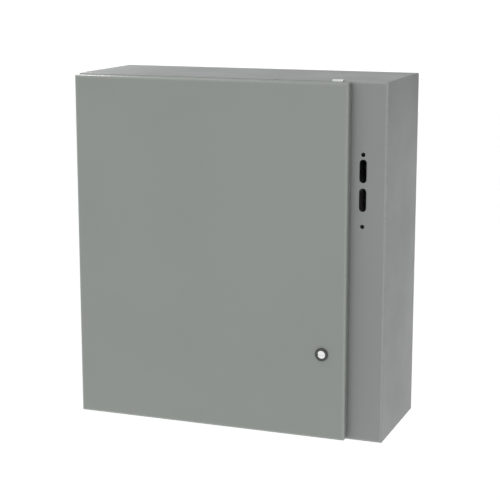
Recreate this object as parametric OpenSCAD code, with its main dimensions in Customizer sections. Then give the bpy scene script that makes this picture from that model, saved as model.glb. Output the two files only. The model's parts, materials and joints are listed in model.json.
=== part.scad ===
// Automatic transfer switch: a wall-mounted sheet steel enclosure with a hinged door and a cut-out
// flange, around a three-pole double-throw transfer mechanism and its controller.
// X is across the front, Z is up, and the front faces -Y. The origin is the centre of the four
// wall-mounting holes, on the back face. Millimetres.

/* [Enclosure] */
// Outside width of the body
body_w = 555.8; // [550:0.1:620]
// Outside height of the body
body_h = 609.6; // [605:0.1:700]
// Depth from the back face to the front flange
body_d = 203.2; // [200:0.1:260]
// Thickness of the sheet steel
sheet = 1.6; // [1.4:0.1:1.8]
// Outside radius of the sheet metal bends
bend_r = 3; // [2.5:0.1:4]
// Outer bend radius of the door's sheet
door_bend_r = 4.5; // [3:0.1:5]
// Width of the front rim, from the door's edge to the opening
rim_w = 26; // [25:0.5:28]
// Height of the sealing lip round the opening
lip_h = 10; // [9:0.5:11]
// Spacing of the wall-mounting holes across the back
wall_hole_dx = 480; // [440:1:484]
// Spacing of the wall-mounting holes up the back
wall_hole_dz = 570; // [560:1:574]
// Radius of the wall-mounting holes
wall_hole_r = 5.6; // [4:0.1:6.5]

/* [Door] */
// Width of the flange that the door leaves uncovered
flange_w = 61.2; // [50:0.1:70]
// Distance from the body's front to the door's front
door_t = 18; // [18:0.1:20]
// Gap between the door's rear edge and the body
door_gap = 2.5; // [2.5:0.1:3]
// How far the door's top and bottom stay inside the body's
door_inset = 2.1; // [1:0.1:4]
// Height of the latch above the body's bottom
latch_height = 150.7; // [120:1:400]
// Distance from the latch to the door's free edge
latch_edge = 41.4; // [40:0.1:48]

/* [Flange cut-outs] */
// Distance from the cut-outs' centre line to the body's right side
cutout_edge = 40.6; // [30:0.1:46]
// Height of the lower screw hole above the body's bottom
cutout_height = 370.2; // [200:0.1:400]
// Spacing of the two screw holes
cutout_spacing = 119.6; // [119:0.1:130]
// Radius of the screw holes
cutout_hole_r = 3.6; // [3:0.1:4]
// Width of the two slots
slot_w = 12.5; // [10:0.1:13]
// End-to-end length of the two slots
slot_len = 38.9; // [30:0.1:40]
// Heights of the slots' centres above the lower screw hole
slot_heights = [44.4, 92.3];

/* [Transfer mechanism] */
// Spacing of the three poles
pole_pitch = 60; // [60:1:62]
// Angle of the blades above and below the middle in the two closed positions
throw = 24; // [20:1:26]
// Distance from the panel to the main shaft's axis
pivot_u = 46; // [46:1:50]
// Reach of a blade from the shaft's axis
blade_reach = 62; // [58:1:62]
// Distance from the shaft's axis to the drive pin
crank_r = 24; // [22:1:26]

/* [Hidden] */
$fn = 64;

// Running clearance between a shaft and its hole, on the radius
fit = 0.05;
// Gap between two contacts or seals that meet when closed
touch = 0.3;

// Edges of the body
left_x = -body_w / 2;
right_x = body_w / 2;
bottom_z = -body_h / 2;
top_z = body_h / 2;
front_y = -body_d;
weld_y = front_y + bend_r;

// Door outline and the opening behind it
door_x0 = left_x;
door_x1 = right_x - flange_w;
door_z0 = bottom_z + door_inset;
door_z1 = top_z - door_inset;
door_front_y = front_y - door_t;
door_rear_y = front_y - door_gap;
door_in_y = door_front_y + sheet;
open_x0 = door_x0 + rim_w;
open_x1 = door_x1 - rim_w;
open_w = open_x1 - open_x0;
open_h = body_h - 2 * rim_w;
open_x = (open_x0 + open_x1) / 2;
open_r = 6;
gasket_w = 7;

// Hinges: the pin stands inside the door's left edge, so the rear edge swings clear of the body
pin_x = left_x + 6.8;
pin_y = front_y - 12;
pin_r = 2.2;
knuckle_r = 3.4;
knuckle_h = 24;
ear_t = 3;
hinge_z = [-200, 200];
riser_x = 12.2;

// Latch
stiffener_x = [open_x - 192, open_x + 150];
latch_x = door_x1 - latch_edge;
latch_z = bottom_z + latch_height;
barrel_r = 8.7;
spindle_r = 6.8;
collar_r = 11.2;
seal_t = 0.8;
collar_t = 2;
collar_edge = 0.8;
cam_y = front_y + sheet + 0.5;
cam_t = 3;
cam_reach = 32;

// Catch clip on the top rim
clip_x = left_x + 470.5;
clip_w = 18.5;
clip_t = 1.3;

// Mounting panel on its four studs
panel_w = 431.8;
panel_h = 533.4;
panel_t = 2;
collar_h = 14;
stud_x = panel_w / 2 - 14;
stud_z = panel_h / 2 - 14;
stud_r = 4.6;
panel_rear_y = -sheet - collar_h;
panel_y = panel_rear_y - panel_t;

// Transfer switch, from its own origin at the panel's face, level with the shaft
switch_x = -25;
switch_z = -20;
base_t = 14;
base_w = 3 * pole_pitch + 12;
base_z0 = -150;
base_z1 = 122;
barrier_t = 4;
barrier_u = 78;
blade_t = 6;
blade_half = 7;
tip_w = 12;
heel_r = 15;
square_half = 7.5;
sleeve_r = 7.4;
shaft_r = 5;
bar_t = 5;
bar_w = 16;
pad_t = 2.5;
pad_r0 = blade_reach - 14;
pad_r1 = blade_reach - 2;
arm_t0 = blade_half + 2 * pad_t + touch;
step_u = 42.5;
load_w = 20;
lug = [20, 22, 24];
lug_hole_r = 7;
lug_screw_r = 5;
chute_u0 = 62;
chute_u1 = 128.5;
chute_z0 = 8;
chute_z1 = 66;
chute_wall = 2.5;
chute_half = pole_pitch / 2 - barrier_t / 2 - 0.1;
plate_u0 = pivot_u + blade_reach + 2.5;
plate_t = 1.5;
plate_z = [14, 21, 28, 35, 42, 49, 56];
bracket_x = base_w / 2 + 8;
bracket_t = 4;
bracket_half = 23;
bracket_hole_z = 16;

// Operator
crank_x = 116;
crank_t = 8;
drive_pin_r = 4;
yoke_x = 137;
yoke_u = pivot_u + crank_r * (1 + cos(throw)) / 2;
yoke = [16, 24, 16];
pin_z = crank_r * sin(throw);
plunger_r = 8;
plunger_z0 = -75;
coil_z0 = -96;
coil_z1 = -28;
frame_t = 4;
frame_half = 25;
lever_x = -131;
lever_reach = 78;
grip_reach = 105;

// Controller and small gear, as left edge, bottom, width and height on the panel
controller = [-192, 152, 160, 84];
case_u = 42;
fascia_t = 4;
board_u = 30;
button_x = [-82, -65, -48];
button_z = 184;
button_r = 5;
button_proud = 3;
lens_x = [-178, -160, -142, -124];
lens_z = 222;
transformer_x = [22, 92];
transformer_z = 202;
core = [54, 46, 64];
limb = 9;
fuse_x = 170;
strip_x = 110;
strip_z = -205;
strip_ways = 12;
strip_pitch = 13;
strip_hole_x = strip_ways * strip_pitch / 2 + 6.5;
bar_len = 150;
neutral_x = -100;
neutral_z = -205;
ground_z = -248;
bar_screw_pitch = 20;
harness_r = 4;
harness_u = 12;

// Every screw that holds a device to the panel: across, seat height above the panel, up
screw_r = 2.5;
screw_places = concat(
    [for (x = [-1, 1], z = [base_z0 + 12, base_z1 - 12])
        [switch_x + x * (base_w / 2 - 14), base_t, switch_z + z]],
    [for (x = [-1, 1], z = [-bracket_hole_z, bracket_hole_z])
        [switch_x + x * (bracket_x + 8), 3, switch_z + z]],
    [for (x = [-1, 1]) [switch_x + yoke_x + x * 14, 3, switch_z + coil_z0 - frame_t - 8]],
    [for (x = transformer_x, z = [-1, 1]) [x, 3, transformer_z + z * (core.z / 2 + 8)]],
    [for (x = [-1, 1]) [fuse_x + x * 37, 6, transformer_z]],
    [for (x = [-1, 1]) [strip_x + x * strip_hole_x, 14, strip_z]]);

// ---- Shared shapes ----

// A rectangle with round corners, centred, made of exact arcs
module rounded_rect(w, h, r) {
    square([w - 2 * r, h], center = true);
    square([w, h - 2 * r], center = true);
    for (x = [-1, 1], z = [-1, 1])
        translate([x * (w / 2 - r), z * (h / 2 - r)]) circle(r);
}

// An outline across the front, extruded forwards from y = 0
module forwards(depth) rotate([90, 0, 0]) linear_extrude(depth) children();

// An outline seen from the right side, its first axis pointing forwards, extruded across X
module across(width) rotate([90, 0, -90]) linear_extrude(width, center = true) children();

// A cylinder that points forwards from y = 0
module rod_y(r, h) rotate([90, 0, 0]) cylinder(r = r, h = h);

// A cylinder along X, centred
module rod_x(r, h) rotate([0, 90, 0]) cylinder(r = r, h = h, center = true);

// A block from one corner to the other, with every edge rounded
module rounded_block(low, high, r) {
    size = high - low;
    mid = (low + high) / 2;
    translate(mid) intersection() {
        linear_extrude(size.z, center = true) rounded_rect(size.x, size.y, r);
        rotate([90, 0, 0]) linear_extrude(size.y, center = true) rounded_rect(size.x, size.z, r);
        across(size.x) rounded_rect(size.y, size.z, r);
    }
}

// A block from one corner to the other
module block(low, high) translate(low) cube(high - low);

// A slotted round-head screw: the head faces forwards and its seat is at y = 0
module screw(head_r, head_h, shank_r, shank_l) {
    difference() {
        rod_y(head_r, head_h);
        translate([-head_r, -head_h - 1, -head_r * 0.12])
            cube([2 * head_r, 1 + head_h * 0.45, head_r * 0.24]);
    }
    translate([0, shank_l, 0]) rod_y(shank_r, shank_l + head_h * 0.3);
}

// A flat bar bent along a line of points, in the side view: straight runs with round bends
module bent_bar(points, t) {
    for (i = [0 : len(points) - 2]) {
        a = points[i];
        step = points[i + 1] - a;
        translate(a) rotate(atan2(step.y, step.x)) translate([0, -t / 2]) square([norm(step), t]);
    }
    for (i = [1 : 1 : len(points) - 2])
        translate(points[i]) circle(t / 2);
}

// A round cable along a line of points, with ball corners
module cable(points, r) {
    for (i = [0 : len(points) - 2]) {
        a = points[i];
        step = points[i + 1] - a;
        length = norm(step);
        translate(a) rotate([0, acos(step.z / length), atan2(step.y, step.x)])
            cylinder(r = r, h = length);
    }
    for (i = [1 : 1 : len(points) - 2])
        translate(points[i]) sphere(r);
}

module on_panel() translate([open_x, panel_y, 0]) children();
module at_switch() on_panel() translate([switch_x, 0, switch_z]) children();
module each_pole() for (i = [-1 : 1]) translate([i * pole_pitch, 0, 0]) children();
module at_pivot() translate([0, -pivot_u, 0]) children();

// A side-view outline turned with a closed blade: the first axis runs along the blade
module along_blade() translate([pivot_u, 0]) rotate(throw) children();

// The side-view point at distance r along the closed blade and t above its centre line
function blade_point(r, t) = [pivot_u + r * cos(throw) - t * sin(throw), r * sin(throw) + t * cos(throw)];

// ---- Enclosure ----

// The opening's outline, grown outwards
module opening_outline(grow) translate([open_x, 0])
    rounded_rect(open_w + 2 * grow, open_h + 2 * grow, open_r + grow);

module flange_cutouts() {
    x = right_x - cutout_edge;
    z = bottom_z + cutout_height;
    for (hole_z = [0, cutout_spacing])
        translate([x, front_y + 2 * sheet, z + hole_z]) rod_y(cutout_hole_r, 4 * sheet);
    for (slot_z = slot_heights)
        translate([x, front_y + 2 * sheet, z + slot_z]) forwards(4 * sheet) slot_outline();
}

module slot_outline() {
    straight = slot_len - slot_w;
    square([slot_w, straight], center = true);
    for (end = [-1, 1])
        translate([0, end * straight / 2]) circle(slot_w / 2);
}

// The whole welded box, before its front is told apart from its back
module folded_box() difference() {
    rounded_block([left_x, front_y, bottom_z], [right_x, 0, top_z], bend_r);
    rounded_block([left_x + sheet, front_y + sheet, bottom_z + sheet],
        [right_x - sheet, -sheet, top_z - sheet], bend_r - sheet);
}

// Back and sides
module enclosure_body() color([0.55, 0.57, 0.55]) difference() {
    folded_box();
    block([left_x - 1, front_y - 1, bottom_z - 1], [right_x + 1, weld_y, top_z + 1]);
    for (x = [-1, 1], z = [-1, 1])
        translate([x * wall_hole_dx / 2, sheet, z * wall_hole_dz / 2]) rod_y(wall_hole_r, 3 * sheet);
}

// Front rim with the flange on its right and a lip round the opening
module front_frame() color([0.55, 0.57, 0.55]) difference() {
    union() {
        difference() {
            folded_box();
            block([left_x - 1, weld_y, bottom_z - 1], [right_x + 1, 1, top_z + 1]);
        }
        translate([0, front_y + sheet / 2, 0]) forwards(lip_h + sheet / 2) opening_outline(sheet);
    }
    translate([0, front_y + 3 * sheet, 0]) forwards(lip_h + 6 * sheet) opening_outline(0);
    flange_cutouts();
}

module body_ground_stud() color([0.8, 0.75, 0.5])
    translate([open_x1 + 30, -sheet, bottom_z + 40]) {
        rod_y(7, 2);
        rod_y(3, 22);
        translate([0, -6, 0]) difference() {
            rotate([90, 0, 0]) cylinder(r = 6, h = 5, $fn = 6);
            translate([0, 1, 0]) rod_y(3 + fit, 7);
        }
    }

// Collar studs: the panel sits on the collars
module panel_studs() color([0.7, 0.7, 0.68])
    for (x = [-1, 1], z = [-1, 1])
        translate([open_x + x * stud_x, -sheet, z * stud_z]) {
            rod_y(9, collar_h);
            rod_y(stud_r, collar_h + 16);
        }

module panel_nuts() color([0.75, 0.75, 0.72]) on_panel()
    for (x = [-1, 1], z = [-1, 1])
        translate([x * stud_x, 0, z * stud_z]) difference() {
            union() {
                rod_y(10.5, 1.6);
                rotate([90, 0, 0]) cylinder(r = 8.2, h = 8.5, $fn = 6);
            }
            translate([0, 1, 0]) rod_y(stud_r + fit, 12);
        }

// A flat panel with its two side edges turned back
module mounting_panel() color([0.93, 0.93, 0.9]) on_panel() difference() {
    union() {
        translate([0, panel_t, 0]) forwards(panel_t) rounded_rect(panel_w, panel_h, 4);
        for (side = [-1, 1])
            translate([side * (panel_w / 2 - panel_t / 2), panel_t + 4, 0])
                cube([panel_t, 10, panel_h - 60], center = true);
    }
    for (x = [-1, 1], z = [-1, 1])
        translate([x * stud_x, 2 * panel_t, z * stud_z]) rod_y(stud_r + 0.6, 3 * panel_t);
    for (place = screw_places)
        translate([place.x, 2 * panel_t, place.z]) rod_y(screw_r + fit, 3 * panel_t);
}

module panel_screws() color([0.75, 0.75, 0.75]) on_panel() for (place = screw_places)
    translate([place.x, -place.y, place.z]) screw(4.6, 3, screw_r, place.y + panel_t + 3);

// Welded hinge bracket: foot on the rim, riser, and an arm to the knuckle that passes in front of the pin
module body_hinge_brackets() color([0.72, 0.72, 0.7]) for (z = hinge_z)
    translate([pin_x, pin_y, z]) {
        difference() {
            linear_extrude(knuckle_h, center = true) {
                circle(knuckle_r);
                translate([0, -knuckle_r]) square([riser_x + 2, 2]);
                translate([riser_x, -knuckle_r]) square([2, front_y - pin_y + knuckle_r]);
                translate([riser_x - 4, front_y - pin_y - 2]) square([6, 2]);
            }
            cylinder(r = pin_r + fit, h = knuckle_h + 2, center = true);
        }
    }

// A bright clip hooked over the body's top edge at the door's free corner
module top_catch_clip() color([0.92, 0.93, 0.92]) translate([clip_x - clip_w / 2, 0, 0]) {
    block([0, front_y - clip_t, top_z - 19], [clip_w, front_y, top_z + clip_t]);
    block([0, front_y - clip_t, top_z], [clip_w, front_y + 7, top_z + clip_t]);
}

// ---- Door ----

module door_panel() color([0.56, 0.58, 0.56]) difference() {
    rounded_block([door_x0, door_front_y, door_z0], [door_x1, front_y + 20, door_z1], door_bend_r);
    rounded_block([door_x0 + sheet, door_in_y, door_z0 + sheet],
        [door_x1 - sheet, front_y + 30, door_z1 - sheet], door_bend_r - sheet);
    block([door_x0 - 1, door_rear_y, door_z0 - 1], [door_x1 + 1, front_y + 31, door_z1 + 1]);
    translate([latch_x, door_front_y + 5, latch_z]) rod_y(barrel_r + fit, 10);
}

// Foamed gasket on the door's inside, in line with the lip
module door_gasket() color([0.12, 0.12, 0.12]) {
    rear_y = front_y - lip_h - touch;
    translate([0, rear_y, 0]) forwards(rear_y - door_in_y) difference() {
        opening_outline((sheet + gasket_w) / 2);
        opening_outline((sheet - gasket_w) / 2);
    }
}

// Two ears per hinge, each on a foot that is welded to the door's inner face
module door_hinge_leaves() color([0.72, 0.72, 0.7]) for (z = hinge_z, side = [-1, 1])
    translate([pin_x, pin_y, z]) mirror([0, 0, side < 0 ? 1 : 0]) {
        reach = pin_y - door_in_y;
        difference() {
            translate([0, 0, knuckle_h / 2 + 0.2]) linear_extrude(ear_t) {
                circle(knuckle_r);
                translate([-pin_r, -reach]) square([knuckle_r + pin_r, reach]);
            }
            cylinder(r = pin_r + fit, h = knuckle_h * 2);
        }
        block([-pin_r, -reach, knuckle_h / 2 + ear_t], [10, -reach + 1.4, knuckle_h / 2 + ear_t + 14]);
    }

module hinge_pins() color([0.8, 0.8, 0.8]) for (z = hinge_z)
    translate([pin_x, pin_y, z]) {
        top = knuckle_h / 2 + 0.2 + ear_t;
        translate([0, 0, -top - 3]) cylinder(r = pin_r, h = 2 * top + 3);
        translate([0, 0, top]) cylinder(r = 2.9, h = 1.6);
    }

// Two channels that stiffen the door's skin
module door_stiffeners() color([0.56, 0.58, 0.56]) for (x = stiffener_x)
    translate([x, door_in_y, 0]) difference() {
        block([-12, 0, -open_h / 2 + 30], [12, 12, open_h / 2 - 30]);
        block([-12 + sheet, -1, -open_h / 2], [12 - sheet, 12 - sheet, open_h / 2]);
    }

// Open-topped pocket for papers, on the door's inner face
module data_pocket() color([0.75, 0.76, 0.74]) {
    size = [250, 24, 160];
    translate([open_x - 40, door_in_y, -120]) difference() {
        block([-size.x / 2, 0, -size.z / 2], [size.x / 2, size.y, size.z / 2]);
        block([-size.x / 2 + 2.5, 2.5, -size.z / 2 + 2.5], [size.x / 2 - 2.5, size.y - 2.5, size.z]);
        translate([0, size.y + 1, size.z / 2]) forwards(5) circle(34);
    }
}

// ---- Latch ----

module at_latch() translate([latch_x, door_front_y, latch_z]) children();

// Collar outside the door, with a threaded barrel through it
module latch_housing() color([0.13, 0.13, 0.13]) at_latch() difference() {
    union() {
        translate([0, -seal_t, 0]) rotate([90, 0, 0]) rotate_extrude() {
            square([collar_r, collar_t - collar_edge]);
            square([collar_r - collar_edge, collar_t]);
            translate([collar_r - collar_edge, collar_t - collar_edge]) circle(collar_edge);
        }
        translate([0, 17, 0]) rod_y(barrel_r, 17 + seal_t);
    }
    translate([0, 18, 0]) rod_y(spindle_r + fit, 24);
}

module latch_seal() color([0.08, 0.08, 0.08]) at_latch() difference() {
    rod_y(collar_r - 0.4, seal_t);
    translate([0, 1, 0]) rod_y(barrel_r + fit, seal_t + 2);
}

module latch_nut() color([0.7, 0.7, 0.7]) at_latch() translate([0, sheet + 5, 0]) difference() {
    rotate([90, 30, 0]) cylinder(r = 12.6, h = 5, $fn = 6);
    translate([0, 1, 0]) rod_y(barrel_r + fit, 7);
}

// Slotted spindle that a screwdriver turns, with a square end for the cam
module latch_spindle() color([0.93, 0.94, 0.93]) at_latch() difference() {
    union() {
        translate([0, 17.6, 0]) rod_y(spindle_r, 17.6 + seal_t + collar_t * 0.6);
        translate([0, 17, 0]) block([-4, 0, -4], [4, cam_y - door_front_y + cam_t - 17, 4]);
    }
    translate([-10, -seal_t - collar_t * 0.6 - 1, -1.3]) cube([20, 2.6, 2.6]);
    translate([0, cam_y - door_front_y + cam_t + 1, 0]) rod_y(2.1 + fit, 8);
}

// Cam arm: it points up when the latch is open, and turns right behind the rim
module latch_cam() color([0.75, 0.76, 0.76]) translate([latch_x, cam_y + cam_t, latch_z]) difference() {
    forwards(cam_t) {
        circle(9);
        translate([-8, 0]) square([16, cam_reach - 8]);
        translate([0, cam_reach - 8]) circle(8);
    }
    translate([0, 1, 0]) forwards(cam_t + 2) square(8 + 4 * fit, center = true);
}

module cam_screw() color([0.6, 0.6, 0.6]) translate([latch_x, cam_y + cam_t, latch_z]) {
    translate([0, 1.5, 0]) rod_y(7.5, 1.5);
    translate([0, 5.5, 0]) rotate([90, 0, 0]) cylinder(r = 5.2, h = 4, $fn = 6);
    translate([0, 1, 0]) rod_y(2.1, 7);
}

// ---- Transfer switch, fixed parts ----

module switch_base() color([0.16, 0.16, 0.17]) at_switch() difference() {
    union() {
        block([-base_w / 2, -base_t, base_z0], [base_w / 2, 0, base_z1]);
        for (i = [-3, -1, 1, 3])
            translate([i * pole_pitch / 2, 0, 0]) block([-barrier_t / 2, -barrier_u, base_z0 + 4],
                [barrier_t / 2, -base_t + 1, base_z1 - 4]);
        each_pole() block([-14, -step_u, -112], [14, -base_t + 1, -62]);
    }
    at_pivot() rod_x(14, 4 * pole_pitch);
    each_pole()
        block([-load_w / 2 - 0.3, -base_t - bar_t - 0.3, base_z0 - 1], [load_w / 2 + 0.3, -base_t, 11.3]);
    for (x = [-1, 1], z = [base_z0 + 12, base_z1 - 12])
        translate([x * (base_w / 2 - 14), 1, z]) rod_y(screw_r + 0.3, base_t + 2);
}

// Side view of a fixed contact: radial arm above the closed blade, a leg back, and the terminal pad
function contact_line(u, z0, z1) = [blade_point(blade_reach + 2, arm_t0 + bar_t / 2),
    blade_point(blade_reach - 26, arm_t0 + bar_t / 2), [u, z0], [u, z1]];

module normal_contacts() color([0.78, 0.45, 0.27]) at_switch() each_pole()
    across(bar_w) bent_bar(contact_line(base_t + bar_t / 2, 56, 114), bar_t);

module emergency_contacts() color([0.78, 0.45, 0.27]) at_switch() mirror([0, 0, 1]) each_pole()
    across(bar_w) bent_bar(contact_line(step_u + bar_t / 2, 56, 110), bar_t);

// Two jaws that hold the blade's heel, standing on the load bar
module load_jaws() color([0.78, 0.45, 0.27]) at_switch() each_pole() {
    block([-load_w / 2, -base_t - bar_t, base_z0 + 2], [load_w / 2, -base_t, 11]);
    for (side = [-1, 1])
        translate([side * (blade_t / 2 + touch + 1.5), 0, 0]) difference() {
            union() {
                block([-1.5, -pivot_u, -11], [1.5, -base_t - 1, 11]);
                at_pivot() rod_x(11, 3);
            }
            at_pivot() rod_x(sleeve_r + 0.6, 5);
        }
}

module fixed_pad_outline() along_blade()
    translate([pad_r0, arm_t0 - pad_t]) square([pad_r1 - pad_r0, pad_t]);

module fixed_contact_pads() color([0.85, 0.85, 0.83]) at_switch() for (side = [0, 1])
    mirror([0, 0, side]) each_pole() across(tip_w) fixed_pad_outline();

// Every lug's place: across, forwards and up, from the switch's origin
lug_rows = [[base_t + bar_t, 99], [step_u + bar_t, -96], [base_t + bar_t, -134]];
lug_places = [for (i = [-1 : 1], row = lug_rows) [i * pole_pitch, -row[0], row[1]]];

module terminal_lugs() color([0.8, 0.81, 0.82]) at_switch() for (place = lug_places)
    translate(place) difference() {
        block([-lug.x / 2, -lug.y, -lug.z / 2], [lug.x / 2, 0, lug.z / 2]);
        translate([0, -lug_hole_r - 2.5, 0]) cylinder(r = lug_hole_r, h = lug.z + 2, center = true);
        translate([0, -lug_hole_r - 2.5, 0]) rod_y(lug_screw_r + fit, lug.y);
    }

module lug_screws() color([0.6, 0.62, 0.64]) at_switch() for (place = lug_places)
    translate(place + [0, -16.7, 0]) difference() {
        rod_y(lug_screw_r, 8);
        translate([0, -6, 0]) rotate([90, 0, 0]) cylinder(r = 2.9, h = 5, $fn = 6);
    }

// Hoods over the contact tips, open at the back and towards the shaft, with vents in front
module arc_chutes() color([0.24, 0.22, 0.2]) at_switch() for (side = [0, 1])
    mirror([0, 0, side]) each_pole() difference() {
        block([-chute_half, -chute_u1, chute_z0], [chute_half, -chute_u0, chute_z1]);
        block([-chute_half + chute_wall, -chute_u1 + chute_wall, chute_z0 - 1],
            [chute_half - chute_wall, -chute_u0 + 1, chute_z1 - chute_wall]);
        for (z = plate_z)
            block([-20, -chute_u1 - 1, z + 2.8], [20, -chute_u1 + chute_wall + 1, z + 5.7]);
    }

module arc_plates() color([0.6, 0.6, 0.6]) at_switch() for (side = [0, 1])
    mirror([0, 0, side]) each_pole() for (z = plate_z)
        block([-chute_half + chute_wall, -chute_u1 + chute_wall, z],
            [chute_half - chute_wall, -plate_u0, z + plate_t]);

module bearing_brackets() color([0.72, 0.72, 0.7]) at_switch() for (side = [-1, 1]) difference() {
    union() {
        translate([side * bracket_x, 0, 0])
            block([-bracket_t / 2, -pivot_u, -bracket_half], [bracket_t / 2, 0, bracket_half]);
        translate([side * bracket_x, -pivot_u, 0]) rod_x(18, bracket_t);
        translate([side * (bracket_x + (side > 0 ? 0 : 12)), 0, 0])
            block([-bracket_t / 2, -3, -bracket_half], [12 + bracket_t / 2, 0, bracket_half]);
    }
    translate([side * bracket_x, -pivot_u, 0]) rod_x(8 + fit, 10);
    for (z = [-bracket_hole_z, bracket_hole_z])
        translate([side * (bracket_x + 8), 1, z]) rod_y(screw_r + 0.3, 5);
}

module shaft_bushes() color([0.72, 0.55, 0.3]) at_switch() for (side = [-1, 1])
    translate([side * bracket_x, -pivot_u, 0]) difference() {
        rod_x(8, bracket_t + 4);
        rod_x(shaft_r + fit, bracket_t + 6);
    }

// ---- Transfer switch, moving parts, drawn in the normal position ----

module main_shaft() color([0.7, 0.71, 0.72]) at_switch() at_pivot()
    translate([9, 0, 0]) rod_x(shaft_r, 310);

module shaft_insulation() color([0.55, 0.16, 0.12]) at_switch() at_pivot() difference() {
    union() {
        rod_x(sleeve_r, base_w - 6);
        each_pole() rotate([-throw, 0, 0])
            cube([blade_t, 2 * square_half, 2 * square_half], center = true);
    }
    rod_x(shaft_r + fit, base_w);
}

module moving_blades() color([0.78, 0.45, 0.27]) at_switch() each_pole() difference() {
    union() {
        across(blade_t) along_blade() {
            circle(heel_r);
            translate([0, -blade_half]) square([blade_reach, 2 * blade_half]);
        }
        across(tip_w) along_blade()
            translate([pad_r0 - 2, -blade_half]) square([blade_reach + 2 - pad_r0, 2 * blade_half]);
    }
    across(tip_w + 2) along_blade() square(2 * (square_half + fit), center = true);
}

module moving_contact_pads() color([0.85, 0.85, 0.83]) at_switch() for (side = [0, 1]) each_pole()
    across(tip_w) along_blade() mirror([0, side])
        translate([pad_r0, blade_half]) square([pad_r1 - pad_r0, pad_t]);

// Crank with the drive pin that works in the plunger's yoke
module drive_crank() color([0.66, 0.67, 0.68]) at_switch() {
    translate([crank_x + crank_t / 2, 0, 0]) difference() {
        across(crank_t) along_blade() {
            circle(11);
            translate([0, -7]) square([crank_r, 14]);
            translate([crank_r, 0]) circle(7);
        }
        at_pivot() rod_x(shaft_r + fit, crank_t + 2);
    }
    at_pivot() rotate([-throw, 0, 0])
        translate([crank_x + crank_t / 2 + 14, -crank_r, 0]) rod_x(drive_pin_r, 28);
}

module manual_lever() color([0.66, 0.67, 0.68]) at_switch() translate([lever_x, 0, 0]) difference() {
    union() {
        across(14) along_blade() circle(12);
        across(6) along_blade() translate([0, -6]) square([lever_reach, 12]);
    }
    at_pivot() rod_x(shaft_r + fit, 20);
}

module lever_grip() color([0.75, 0.1, 0.08]) at_switch() translate([lever_x, 0, 0])
    across(18) along_blade() translate([(lever_reach + grip_reach) / 2, 0])
        rounded_rect(grip_reach - lever_reach, 22, 6);

// ---- Solenoid operator ----

module solenoid_frame() color([0.5, 0.52, 0.55]) at_switch() translate([yoke_x, -yoke_u, 0]) difference() {
    union() {
        for (side = [-1, 1])
            translate([side * (frame_half - frame_t / 2), 0, 0])
                block([-frame_t / 2, -frame_half, coil_z0 - frame_t],
                    [frame_t / 2, yoke_u, coil_z1 + frame_t]);
        for (z = [coil_z0 - frame_t, coil_z1])
            block([-frame_half, -frame_half, z], [frame_half, frame_half, z + frame_t]);
        block([-frame_half, yoke_u - 3, coil_z0 - frame_t - 14], [frame_half, yoke_u, coil_z0 + 12]);
    }
    translate([0, 0, coil_z1]) cylinder(r = plunger_r + 0.4, h = frame_t * 3, center = true);
    for (side = [-1, 1])
        translate([side * 14, yoke_u + 1, coil_z0 - frame_t - 8]) rod_y(screw_r + 0.3, 5);
}

// Bobbin with two cheeks and the winding between them
module solenoid_coil() color([0.6, 0.28, 0.12]) at_switch() translate([yoke_x, -yoke_u, 0]) difference() {
    union() {
        for (z = [coil_z0, coil_z1 - 3])
            translate([0, 0, z]) cylinder(r = frame_half - frame_t, h = 3);
        translate([0, 0, coil_z0 + 2])
            cylinder(r = frame_half - frame_t - 2.5, h = coil_z1 - coil_z0 - 4);
    }
    translate([0, 0, coil_z0 - 1]) cylinder(r = plunger_r + 0.4, h = coil_z1 - coil_z0 + 2);
}

module solenoid_plunger() color([0.74, 0.75, 0.76]) at_switch() translate([yoke_x, -yoke_u, 0]) {
    translate([0, 0, plunger_z0]) cylinder(r = plunger_r, h = pin_z - yoke.z / 2 + 1 - plunger_z0);
    difference() {
        translate([0, 0, pin_z]) cube(yoke, center = true);
        translate([0, 0, pin_z]) across(yoke.x + 2) {
            half = crank_r * (1 - cos(throw)) / 2 + touch;
            square([2 * half, 2 * (drive_pin_r + touch)], center = true);
            for (end = [-1, 1])
                translate([end * half, 0]) circle(drive_pin_r + touch);
        }
    }
}

// Rotary auxiliary switch driven by the end of the main shaft
module aux_switch() color([0.2, 0.2, 0.22]) at_switch() difference() {
    union() {
        block([156, -72, -20], [180, 0, 20]);
        for (z = [-13, -4.5, 4.5, 13])
            translate([0, 0, z]) block([160, -80, -2.6], [176, -71, 2.6]);
    }
    at_pivot() translate([160, 0, 0]) rod_x(shaft_r + 0.2, 10);
}

// ---- Controller and control gear ----

module controller_case() color([0.2, 0.21, 0.22]) on_panel() translate([controller[0], 0, controller[1]])
    difference() {
        block([0, -case_u, 0], [controller[2], 0, controller[3]]);
        block([3, -case_u - 1, 3], [controller[2] - 3, -8, controller[3] - 3]);
    }

module controller_fascia() color([0.3, 0.32, 0.34]) on_panel() difference() {
    union() {
        translate([controller[0] + controller[2] / 2, -case_u, controller[1] + controller[3] / 2])
            forwards(fascia_t) rounded_rect(controller[2] + 4, controller[3] + 4, 5);
        translate([-143, -case_u - fascia_t + 0.5, 188]) forwards(1.5) difference() {
            rounded_rect(86, 44, 3);
            rounded_rect(74, 32, 2);
        }
    }
    for (x = button_x)
        translate([x, -case_u + 1, button_z]) rod_y(button_r + 0.2, fascia_t + 2);
    for (x = lens_x)
        translate([x, -case_u + 1, lens_z]) rod_y(2.5 + fit, fascia_t + 2);
}

module indicator_lenses() color([0.2, 0.7, 0.25]) on_panel() for (x = lens_x)
    translate([x, -case_u, lens_z]) {
        rod_y(2.5, fascia_t + 0.2);
        translate([0, -fascia_t, 0]) intersection() {
            rod_y(2.5, 1.4);
            translate([0, 1.3, 0]) sphere(2.8);
        }
    }

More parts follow.
